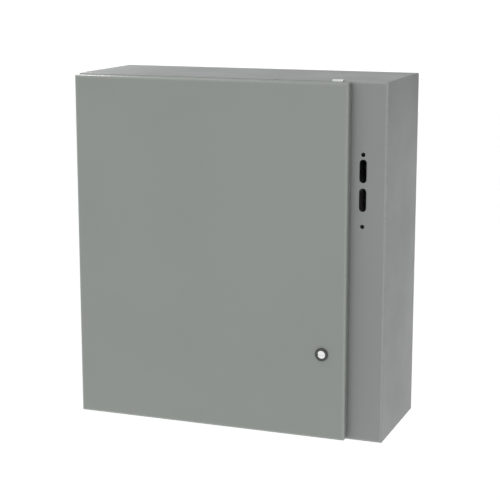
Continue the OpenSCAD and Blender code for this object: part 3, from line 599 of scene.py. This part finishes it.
def sweep(bm, path, ring, closed=False, facing=None):
    """Carries a ring of (side, other) offsets along a path.

    ring may also be a function of the station's number; facing fixes the offsets' second way.
    """
    count = len(path)
    side = None
    rings = []
    for i, point in enumerate(path):
        before = path[i - 1] if closed or i else point
        after = path[(i + 1) % count] if closed or i < count - 1 else point
        along = (after - before).normalized()
        side = along.cross(facing).normalized() if facing else carried(side, along)
        other = facing or along.cross(side)
        offsets = ring(i) if callable(ring) else ring
        rings.append([bm.verts.new(point + side * a + other * b) for a, b in offsets])
    skin(bm, rings, closed)


def circle_ring(radius, count=8):
    turn = 2 * math.pi / count
    return [(radius * math.cos(i * turn), radius * math.sin(i * turn)) for i in range(count)]


def flat_ring(half_side, half_other):
    signs = ((-1, -1), (1, -1), (1, 1), (-1, 1))
    return [(a * half_side, b * half_other) for a, b in signs]


def rounded_loop(half_x, half_y, corner, steps=5):
    """Points round a rectangle with round corners, anticlockwise."""
    corner = min(corner, half_x, half_y)
    loop = []
    for k, (sx, sy) in enumerate(((1, 1), (-1, 1), (-1, -1), (1, -1))):
        for i in range(steps + 1):
            angle = math.pi / 2 * (k + i / steps)
            loop.append((sx * (half_x - corner) + corner * math.cos(angle),
                         sy * (half_y - corner) + corner * math.sin(angle)))
    return loop


def stack(bm, place, levels, closed=False, steps=5):
    """Skins rounded loops given as (half_x, half_y, corner, height), placed by a matrix."""
    rings = []
    for half_x, half_y, corner, height in levels:
        loop = rounded_loop(half_x, half_y, corner, steps)
        rings.append([bm.verts.new(place @ Vector((x, y, height))) for x, y in loop])
    skin(bm, rings, closed)


def turned(bm, place, profile, closed=False, steps=8):
    """Skins circles given as (radius, height)."""
    levels = [(radius, radius, radius, height) for radius, height in profile]
    stack(bm, place, levels, closed, steps)


def add_box(bm, low, high, bevel=0.4 * MM, segments=2):
    """A block from one corner to the other with rounded edges."""
    place = Matrix.Translation((low + high) / 2) @ Matrix.Diagonal((*(high - low), 1.0))
    made = bmesh.ops.create_cube(bm, size=1.0, matrix=place)
    edges = dict.fromkeys(edge for vert in made["verts"] for edge in vert.link_edges)
    bmesh.ops.bevel(bm, geom=list(edges), offset=bevel, segments=segments, profile=0.5,
                    affect="EDGES", clamp_overlap=True)


def resampled(path, step):
    """The same path with points at an even spacing."""
    lengths = [0.0]
    for a, b in zip(path, path[1:]):
        lengths.append(lengths[-1] + (b - a).length)
    count = max(2, round(lengths[-1] / step))
    points = []
    k = 0
    for i in range(count + 1):
        goal = lengths[-1] * i / count
        while k < len(path) - 2 and lengths[k + 1] < goal:
            k += 1
        span = lengths[k + 1] - lengths[k]
        points.append(path[k].lerp(path[k + 1], (goal - lengths[k]) / span if span else 0.0))
    return points


def rounded_path(corners, radius, step=4 * MM, arc_steps=6):
    """A path through corners, each cut by a curve that starts radius away."""
    path = [corners[0]]
    for before, corner, after in zip(corners, corners[1:], corners[2:]):
        reach = min(radius, (corner - before).length / 2.1, (after - corner).length / 2.1)
        start = corner + (before - corner).normalized() * reach
        end = corner + (after - corner).normalized() * reach
        for i in range(arc_steps + 1):
            t = i / arc_steps
            path.append(start * (1 - t) ** 2 + corner * 2 * t * (1 - t) + end * t * t)
    path.append(corners[-1])
    return resampled(path, step)


PANEL_LO, PANEL_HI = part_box("mounting_panel")
PANEL_CENTRE = (PANEL_LO.x + PANEL_HI.x) / 2
PANEL_FACE = PANEL_LO.y
FORWARD = Vector((0.0, -1.0, 0.0))
# Turns a shape built up along its own Z so that it stands forwards from the panel
OUTWARD = Matrix.Rotation(math.pi / 2, 4, "X")


def on_panel(across, out, height):
    """A place on the mounting panel in millimetres: across, out from its face, and up."""
    return Vector((PANEL_CENTRE + across * MM, PANEL_FACE - out * MM, height * MM))


def middle(low, high):
    return (low + high) / 2


# ---- Door pieces ----

GASKET_CORNER = 6.8 * MM


def door_seal():
    """Foamed seal: a crowned bead with the mark that the lip has pressed into it."""
    low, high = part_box("door_gasket")
    half = 3.5 * MM
    height = high.y - low.y
    mid = middle(low, high)
    half_x, half_z = (high.x - low.x) / 2 - half, (high.z - low.z) / 2 - half
    loop = rounded_loop(half_x, half_z, GASKET_CORNER, 8)
    loop = [Vector((mid.x + x, low.y, mid.z + z)) for x, z in loop]
    path = []
    for a, b in zip(loop, loop[1:] + loop[:1]):
        pieces = max(1, round((b - a).length / (6 * MM)))
        path += [a.lerp(b, i / pieces) for i in range(pieces)]

    def profile(station):
        swell = 1.0 + 0.03 * math.sin(station * 0.37) + 0.02 * math.sin(station * 1.13)
        ring = []
        for i in range(15):
            angle = math.pi * i / 14
            a = half * math.copysign(abs(math.cos(angle)) ** 0.75, math.cos(angle))
            crown = height * math.sin(angle) ** 0.55
            mark = 0.10 * height * math.exp(-(a / (0.9 * MM)) ** 2)
            ring.append((a * min(1.0, swell), (crown * min(1.0, swell) - mark)))
        return ring

    bm = bmesh.new()
    sweep(bm, path, profile, True, Vector((0.0, 1.0, 0.0)))
    piece = add_piece("door_seal", bm, "door", "black_rubber", 60)
    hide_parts("door_gasket")


def bead(bm, start, end, radius):
    """A weld bead of overlapping scales."""
    path = resampled([start, end], 0.8 * MM)
    sweep(bm, path, lambda i: circle_ring(radius * (0.82 + 0.18 * abs(math.sin(i * 0.9))), 10))


KNUCKLE_HEIGHT = 24 * MM
LEAF_FOOT = 14 * MM
LEAF_GAP = 30 * MM


def hinge_welds():
    """Beads along the feet of the body's brackets and of the door's leaves."""
    low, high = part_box("body_hinge_brackets")
    y = high.y - 0.6 * MM
    reach = 0.42 * KNUCKLE_HEIGHT
    bm = bmesh.new()
    for z in (low.z + KNUCKLE_HEIGHT / 2, high.z - KNUCKLE_HEIGHT / 2):
        bead(bm, Vector((high.x, y, z - reach)), Vector((high.x, y, z + reach)), 1.3 * MM)
    add_piece("hinge_welds_body", bm, "enclosure", "zinc_steel", 60)

    low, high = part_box("door_hinge_leaves")
    y = low.y + 0.7 * MM
    inner = LEAF_FOOT + LEAF_GAP
    bm = bmesh.new()
    for start in (low.z, high.z - LEAF_FOOT, low.z + inner, high.z - inner - LEAF_FOOT):
        end = start + LEAF_FOOT
        bead(bm, Vector((high.x, y, start + 1 * MM)), Vector((high.x, y, end - 1 * MM)), 1.1 * MM)
    add_piece("hinge_welds_door", bm, "door", "zinc_steel", 60)


# ---- Operator and control gear pieces ----

def solenoid_winding():
    """Moulded bobbin cheeks, turns of wire between them and a wrap of tape."""
    low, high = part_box("solenoid_coil")
    mid = middle(low, high)
    place = Matrix.Translation((mid.x, mid.y, low.z))
    length = high.z - low.z
    outer, bore, cheek = (high.x - low.x) / 2, 8.4 * MM, 3 * MM
    lining = bore + 1.2 * MM
    wound = outer - 2.5 * MM
    r = 0.6 * MM
    bm = bmesh.new()
    for z in (0.0, length - cheek):
        turned(bm, place, [(bore, z), (outer - r, z), (outer, z + r), (outer, z + cheek - r),
                           (outer - r, z + cheek), (bore, z + cheek)], True, 12)
    turned(bm, place, [(bore, cheek - r), (lining, cheek - r), (lining, length - cheek + r),
                       (bore, length - cheek + r)], True, 12)
    bobbin = add_piece("solenoid_bobbin", bm, "enclosure", "black_plastic")

    bm = bmesh.new()
    wire, dip, gap, inside = 1.1 * MM, 0.45 * MM, 0.05 * MM, bore + 1.3 * MM
    profile = [(inside, cheek + gap)]
    z = cheek + gap
    while z + wire < length - cheek:
        for share, rise in ((0.0, 0.0), (0.2, 0.75), (0.5, 1.0), (0.8, 0.75)):
            profile.append((wound - dip * (1 - rise), z + share * wire))
        z += wire
    profile.append((wound - dip, length - cheek - gap))
    profile.append((inside, length - cheek - gap))
    turned(bm, place, profile, True, 12)
    wires = add_piece("solenoid_turns", bm, "enclosure", "winding", 80)

    bm = bmesh.new()
    start, end, lip = length * 0.30, length * 0.72, 0.2 * MM
    wrapped = wound + 0.25 * MM
    turned(bm, place, [(wound - lip, start), (wrapped, start + lip),
                       (wound + 0.30 * MM, (start + end) / 2), (wrapped, end - lip),
                       (wound - lip, end)], True, 12)
    tape = add_piece("solenoid_tape", bm, "enclosure", "yellow_tape")
    for piece in (bobbin, wires, tape):
        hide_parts("solenoid_coil")


CORE_WIDTH = 54 * MM


def transformer_windings():
    """Wire wound round each middle limb, in tape that leaves the turns bare at both ends."""
    low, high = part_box("transformer_coils")
    core_low, core_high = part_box("transformer_cores")
    z0, length = low.z, high.z - low.z
    half_y = (high.y - low.y) / 2
    limb_x, limb_y, limb_corner = 9.2 * MM, 17.2 * MM, 0.8 * MM
    turns_bm, tape_bm = bmesh.new(), bmesh.new()
    for x in (core_low.x + CORE_WIDTH / 2, core_high.x - CORE_WIDTH / 2):
        half_x = x - low.x if x < middle(low, high).x else high.x - x
        place = Matrix.Translation((x, (low.y + high.y) / 2, z0))
        wire, margin, corner = 1.3 * MM, 0.6 * MM, 7 * MM
        levels = [(limb_x, limb_y, limb_corner, margin)]
        z = margin
        while z + wire < length - margin:
            for share, rise in ((0.0, 0.0), (0.25, 0.8), (0.5, 1.0), (0.75, 0.8)):
                inset = 0.7 * MM + 0.5 * MM * (1 - rise)
                levels.append((half_x - inset, half_y - inset, corner - inset, z + share * wire))
            z += wire
        levels.append((limb_x, limb_y, limb_corner, length - margin))
        stack(turns_bm, place, levels, True, 6)
        tucked, shallow = 0.9 * MM, 0.2 * MM
        wrap = [(half_x - tucked, half_y - tucked, 6 * MM, 4.5 * MM),
                (half_x - shallow, half_y - shallow, corner, 5.0 * MM),
                (half_x, half_y, corner, length / 2),
                (half_x - shallow, half_y - shallow, corner, length - 5.0 * MM),
                (half_x - tucked, half_y - tucked, 6 * MM, length - 4.5 * MM)]
        stack(tape_bm, place, wrap, True, 6)
    turns = add_piece("transformer_turns", turns_bm, "enclosure", "winding", 80)
    tape = add_piece("transformer_tape", tape_bm, "enclosure", "yellow_tape")
    for piece in (turns, tape):
        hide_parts("transformer_coils")


FUSE_PITCH = 20 * MM
CAP_LENGTH = 11 * MM


def fuses():
    """Ceramic tubes with crimped metal caps, each cap held by a spring clip."""
    low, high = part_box("fuse_links")
    mid = middle(low, high)
    cap_r = (high.y - low.y) / 2
    tube_r = cap_r - 0.8 * MM
    half = (high.z - low.z) / 2
    r = 0.8 * MM
    tubes, caps, clips = bmesh.new(), bmesh.new(), bmesh.new()
    for side in (-1, 0, 1):
        centre = Vector((mid.x + side * FUSE_PITCH, mid.y, mid.z))
        place = Matrix.Translation(centre)
        inner = half - CAP_LENGTH
        turned(tubes, place, [(tube_r * 0.96, -inner - r), (tube_r, -inner * 0.9),
                              (tube_r * 1.01, 0.0), (tube_r, inner * 0.9),
                              (tube_r * 0.96, inner + r)])
        for end in (-1, 1):
            profile = [(cap_r - r, half), (cap_r - r * 0.3, half - r * 0.3), (cap_r, half - r),
                       (cap_r, inner + 2.2 * MM), (cap_r - 0.35 * MM, inner + 1.7 * MM),
                       (cap_r - 0.1 * MM, inner + 1.0 * MM), (tube_r, inner)]
            dish = [(0.3 * cap_r, half - 0.5 * MM), (0.55 * cap_r, half - 0.1 * MM)]
            turned(caps, place, [(radius, end * z) for radius, z in dish + profile])
            path = []
            for i in range(15):
                angle = math.radians(-55 + 290 * i / 14)
                around = Vector((math.cos(angle), math.sin(angle), 0.0)) * (cap_r + 0.35 * MM)
                path.append(centre + around + Vector((0.0, 0.0, end * (half - CAP_LENGTH / 2))))
            strip = flat_ring(0.22 * MM, 3 * MM)
            sweep(clips, path, strip, False, Vector((0.0, 0.0, 1.0)))
    tubes = add_piece("fuse_tubes", tubes, "enclosure", "fuse_body")
    caps = add_piece("fuse_caps", caps, "enclosure", "bright_metal")
    add_piece("fuse_clips", clips, "enclosure", "copper")
    for piece in (tubes, caps):
        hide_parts("fuse_links")


BLADE_ANGLE = math.radians(24)


def grip():
    """Moulded hand grip with finger grooves, at the lever's free end."""
    low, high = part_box("lever_grip")
    along = Vector((0.0, -math.cos(BLADE_ANGLE), math.sin(BLADE_ANGLE)))
    across = Vector((1.0, 0.0, 0.0))
    third = along.cross(across)
    mid = middle(low, high)
    place = Matrix.Identity(4)
    for column, axis in enumerate((across, third, along)):
        for row in range(3):
            place[row][column] = axis[row]
    place.translation = mid
    half_x = (high.x - low.x) / 2
    length, half_y = 27 * MM, 11 * MM
    levels = []
    steps = 28
    for i in range(steps + 1):
        t = i / steps
        end = min(t, 1 - t) / 0.16
        round_off = math.sqrt(max(0.0, 1 - max(0.0, 1 - end) ** 2)) if end < 1 else 1.0
        groove = 0.045 * (1 - math.cos(t * 6 * math.pi)) * min(1.0, end)
        size = 0.30 + 0.70 * round_off - groove
        levels.append((half_x * size, half_y * size, 7.5 * MM * size, length * (t - 0.5)))
    bm = bmesh.new()
    stack(bm, place, levels, False, 6)
    piece = add_piece("moulded_grip", bm, "transfer_shaft", "red_grip", 70)
    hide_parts("lever_grip")


# Millimetres on the panel; the ink and the glass by their depths in front of the fascia's face
SCREEN_CENTRE = (-143, 188)
SCREEN_HALF = (36.6, 15.6)
GLASS_FRONT, GLASS_BACK = 0.55, 0.02
INK_FRONT, INK_BACK = 0.62, 0.5
BAR_SHARES = (0.35, 0.55, 0.8, 0.65, 0.45, 0.9, 0.7, 0.5)
BAR_PITCH, BAR_WIDTH, BAR_HEIGHT, BAR_FOOT = 4.6, 3, 22, 4
ROW_WIDTHS = (24, 17, 21)
ROW_PITCH, ROW_HALF = 8, 1.4


def controller_screen():
    """Display behind the bezel, showing plain bars only."""
    low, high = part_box("controller_fascia")
    front = (PANEL_FACE - low.y) / MM - 1
    x, z = SCREEN_CENTRE
    half_x, half_z = SCREEN_HALF
    bm = bmesh.new()
    add_box(bm, on_panel(x - half_x, front + GLASS_FRONT, z - half_z),
            on_panel(x + half_x, front + GLASS_BACK, z + half_z), 0.15 * MM)
    add_piece("screen_glass", bm, "enclosure", "fascia_plastic", material=screen_material())
    bm = bmesh.new()
    foot = z - half_z + BAR_FOOT
    for i, share in enumerate(BAR_SHARES):
        left = x - half_x + 5 + i * BAR_PITCH
        add_box(bm, on_panel(left, front + INK_FRONT, foot),
                on_panel(left + BAR_WIDTH, front + INK_BACK, foot + share * BAR_HEIGHT),
                0.05 * MM, 1)
    for i, width in enumerate(ROW_WIDTHS):
        level = z + half_z - 7 - i * ROW_PITCH
        add_box(bm, on_panel(x + 6, front + INK_FRONT, level - ROW_HALF),
                on_panel(x + 6 + width, front + INK_BACK, level + ROW_HALF), 0.05 * MM, 1)
    add_piece("screen_bars", bm, "enclosure", "fascia_plastic", material=bar_material())
    screws = bmesh.new()
    for sx in (low.x + 6 * MM, high.x - 6 * MM):
        for sz in (low.z + 6 * MM, high.z - 6 * MM):
            place = Matrix.Translation((sx, PANEL_FACE - front * MM, sz)) @ OUTWARD
            socket_screw(screws, place, 2.6 * MM, 1.0 * MM)
    add_piece("fascia_screws", screws, "enclosure", "zinc_steel")


def socket_screw(bm, place, radius, height):
    """Domed head with a round driving recess."""
    shares = ((1.0, 0.0), (1.0, 0.4), (0.86, 0.82), (0.62, 1.0), (0.50, 1.0), (0.44, 0.9),
              (0.42, 0.3), (0.1, 0.22))
    turned(bm, place, [(radius * across, height * up) for across, up in shares], False, 5)


def screen_material():
    glass = Surface("screen_glass", (0.16, 0.20, 0.15), 0.12)
    glass.vary(0.06, 40.0)
    glass.rough_vary(0.08, 0.2, 60.0)
    glass.bsdf.inputs["Coat Weight"].default_value = 0.6
    return glass.material


def bar_material():
    ink = Surface("screen_ink", (0.02, 0.025, 0.022), 0.3)
    ink.vary(0.2, 400.0)
    ink.rough_vary(0.2, 0.4, 200.0)
    return ink.material


# ---- Wiring ----

# Millimetres on the panel: across, out from its face, and up
TRUNK_RADIUS = 4.0
BRANCH_RADIUS = 3.0
RUN_OUT = 12
STRIP_TOP = -189.8
LOW_RUN = -176
TRUNKS = [
    [(-165, 22, 141), (-165, 22, 124), (-165, RUN_OUT, 124), (-207, RUN_OUT, 124),
     (-207, RUN_OUT, LOW_RUN), (50, RUN_OUT, LOW_RUN), (50, RUN_OUT, STRIP_TOP)],
    [(-95, 22, 141), (-95, 22, 132), (-95, RUN_OUT, 132), (194, RUN_OUT, 132),
     (194, RUN_OUT, LOW_RUN), (170, RUN_OUT, LOW_RUN), (170, RUN_OUT, STRIP_TOP)],
]
BRANCHES = [
    [(194, RUN_OUT, -150), (112, RUN_OUT, -150), (112, RUN_OUT, -82), (112, 50, -82)],
    [(22, RUN_OUT, 132), (22, 50.5, 132), (22, 50.5, 180)],
    [(92, RUN_OUT, 132), (92, 50.5, 132), (92, 50.5, 180)],
    [(170, RUN_OUT, 132), (170, RUN_OUT, 167.5)],
]
# Length in which a bundle's wires turn once round each other
LAY = 46 * MM


def stranded(bm, path, radius, strands):
    """Wires laid round each other along a path, inside the given radius."""
    pitch = 2 * math.pi / strands
    wire = radius * math.sin(pitch / 2) / (1 + math.sin(pitch / 2)) * 0.98
    off = radius - wire
    side = None
    tracks = [[] for _ in range(strands)]
    for i, point in enumerate(path):
        before, after = path[max(0, i - 1)], path[min(len(path) - 1, i + 1)]
        along = (after - before).normalized()
        side = carried(side, along)
        other = along.cross(side)
        turn = 2 * math.pi * i * (path[1] - path[0]).length / LAY
        for k, track in enumerate(tracks):
            angle = turn + k * pitch
            track.append(point + (side * math.cos(angle) + other * math.sin(angle)) * off)
    for track in tracks:
        sweep(bm, track, circle_ring(wire, 8))


def cable_tie(bm, point, along, radius):
    """A band with its locking head, round a bundle."""
    side = FORWARD
    other = along.cross(side)
    half_band = 0.45 * MM
    loop = []
    for i in range(24):
        angle = i * math.pi / 12
        around = side * math.cos(angle) + other * math.sin(angle)
        loop.append(point + around * (radius + half_band))
    sweep(bm, loop, flat_ring(half_band, 1.3 * MM), True, along)
    head = point + side * (radius + 1.8 * MM)
    reach = Vector((2.1 * MM,) * 3)
    add_box(bm, head - reach, head + reach, 0.5 * MM)


def tie_base(bm, point, radius):
    """A stuck-down base between the panel and a bundle."""
    foot = Vector((point.x, PANEL_FACE, point.z))
    place = Matrix.Translation(foot) @ OUTWARD
    rise = PANEL_FACE - point.y - radius
    levels = ((7, 2, 0.05), (8, 2.5, 0.6), (8, 2.5, 1.6), (5.5, 2, 2.4))
    levels = [(half * MM, half * MM, corner * MM, height * MM) for half, corner, height in levels]
    stack(bm, place, levels + [(4.5 * MM, 4.5 * MM, 1.5 * MM, rise)])


def plug(bm, centre_x):
    """Ribbed connector with a cable boot, under the controller."""
    z0, z1, half = 140, 152, 25
    add_box(bm, on_panel(centre_x - half, 14, z0), on_panel(centre_x + half, 29, z1), 1.0 * MM)
    for i in range(12):
        x = centre_x - half + 3.2 + i * 3.95
        add_box(bm, on_panel(x, 28, z0 + 1.5), on_panel(x + 1.8, 30, z1 - 1.5), 0.4 * MM)
    place = Matrix.Translation(on_panel(centre_x, 22, z0 + 1)) @ Matrix.Rotation(math.pi, 4, "X")
    boot = ((6.4, 0.0), (6.2, 2), (5.2, 2.6), (5.4, 4), (4.6, 4.6), (4.7, 6), (4.2, 6.6))
    turned(bm, place, [(radius * MM, height * MM) for radius, height in boot])


def harness():
    wires, ties, bases = bmesh.new(), bmesh.new(), bmesh.new()
    for corners in TRUNKS:
        path = rounded_path([on_panel(*corner) for corner in corners], 11 * MM)
        stranded(wires, path, TRUNK_RADIUS * MM, 6)
        for i in range(12, len(path) - 4, 15):
            along = (path[i + 1] - path[i - 1]).normalized()
            if abs(along.y) < 0.1:
                cable_tie(ties, path[i], along, TRUNK_RADIUS * MM)
            if i % 30 == 12 and abs(along.y) < 0.02:
                tie_base(bases, path[i], TRUNK_RADIUS * MM)
    for corners in BRANCHES:
        path = rounded_path([on_panel(*corner) for corner in corners], 9 * MM)
        stranded(wires, path, BRANCH_RADIUS * MM, 4)
        for i in range(5, len(path) - 3, 9):
            cable_tie(ties, path[i], (path[i + 1] - path[i - 1]).normalized(), BRANCH_RADIUS * MM)
    plugs = bmesh.new()
    for x in (TRUNKS[0][0][0], TRUNKS[1][0][0]):
        plug(plugs, x)
    wires = add_piece("harness_wires", wires, "enclosure", "cable_jacket", 70)
    plugs = add_piece("harness_plugs", plugs, "enclosure", "cable_jacket",
                      material=MATERIALS["black_plastic"])
    for piece in (wires, plugs):
        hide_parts("control_harness")
    nylon = moulded("tie_nylon", (0.72, 0.71, 0.66), 0.35, 1500.0, 0.00002)
    add_piece("harness_ties", ties, "enclosure", "pocket_plastic", material=nylon)
    add_piece("harness_bases", bases, "enclosure", "pocket_plastic", material=nylon)


door_seal()
hinge_welds()
solenoid_winding()
transformer_windings()
fuses()
grip()
controller_screen()
harness()


# ---- Stage ----

def floor():
    z = CAD_BOX[0].z - FLOOR_DROP
    corners = [(-1, -1), (1, -1), (1, 1), (-1, 1)]
    data = bpy.data.meshes.new("studio_floor")
    data.from_pydata([(x * FLOOR_HALF, y * FLOOR_HALF, z) for x, y in corners], [], [(0, 1, 2, 3)])
    plane = bpy.data.objects.new("studio_floor", data)
    scene.collection.objects.link(plane)
    pale = Surface("floor_pale", (0.95, 0.95, 0.95), 0.85)
    pale.vary(0.004, 2.0)
    pale.rough_vary(0.8, 0.9, 3.0)
    pale.bsdf.inputs["Emission Color"].default_value = (1.0, 1.0, 1.0, 1.0)
    pale.bsdf.inputs["Emission Strength"].default_value = FLOOR_GLOW
    data.materials.append(pale.material)


floor()
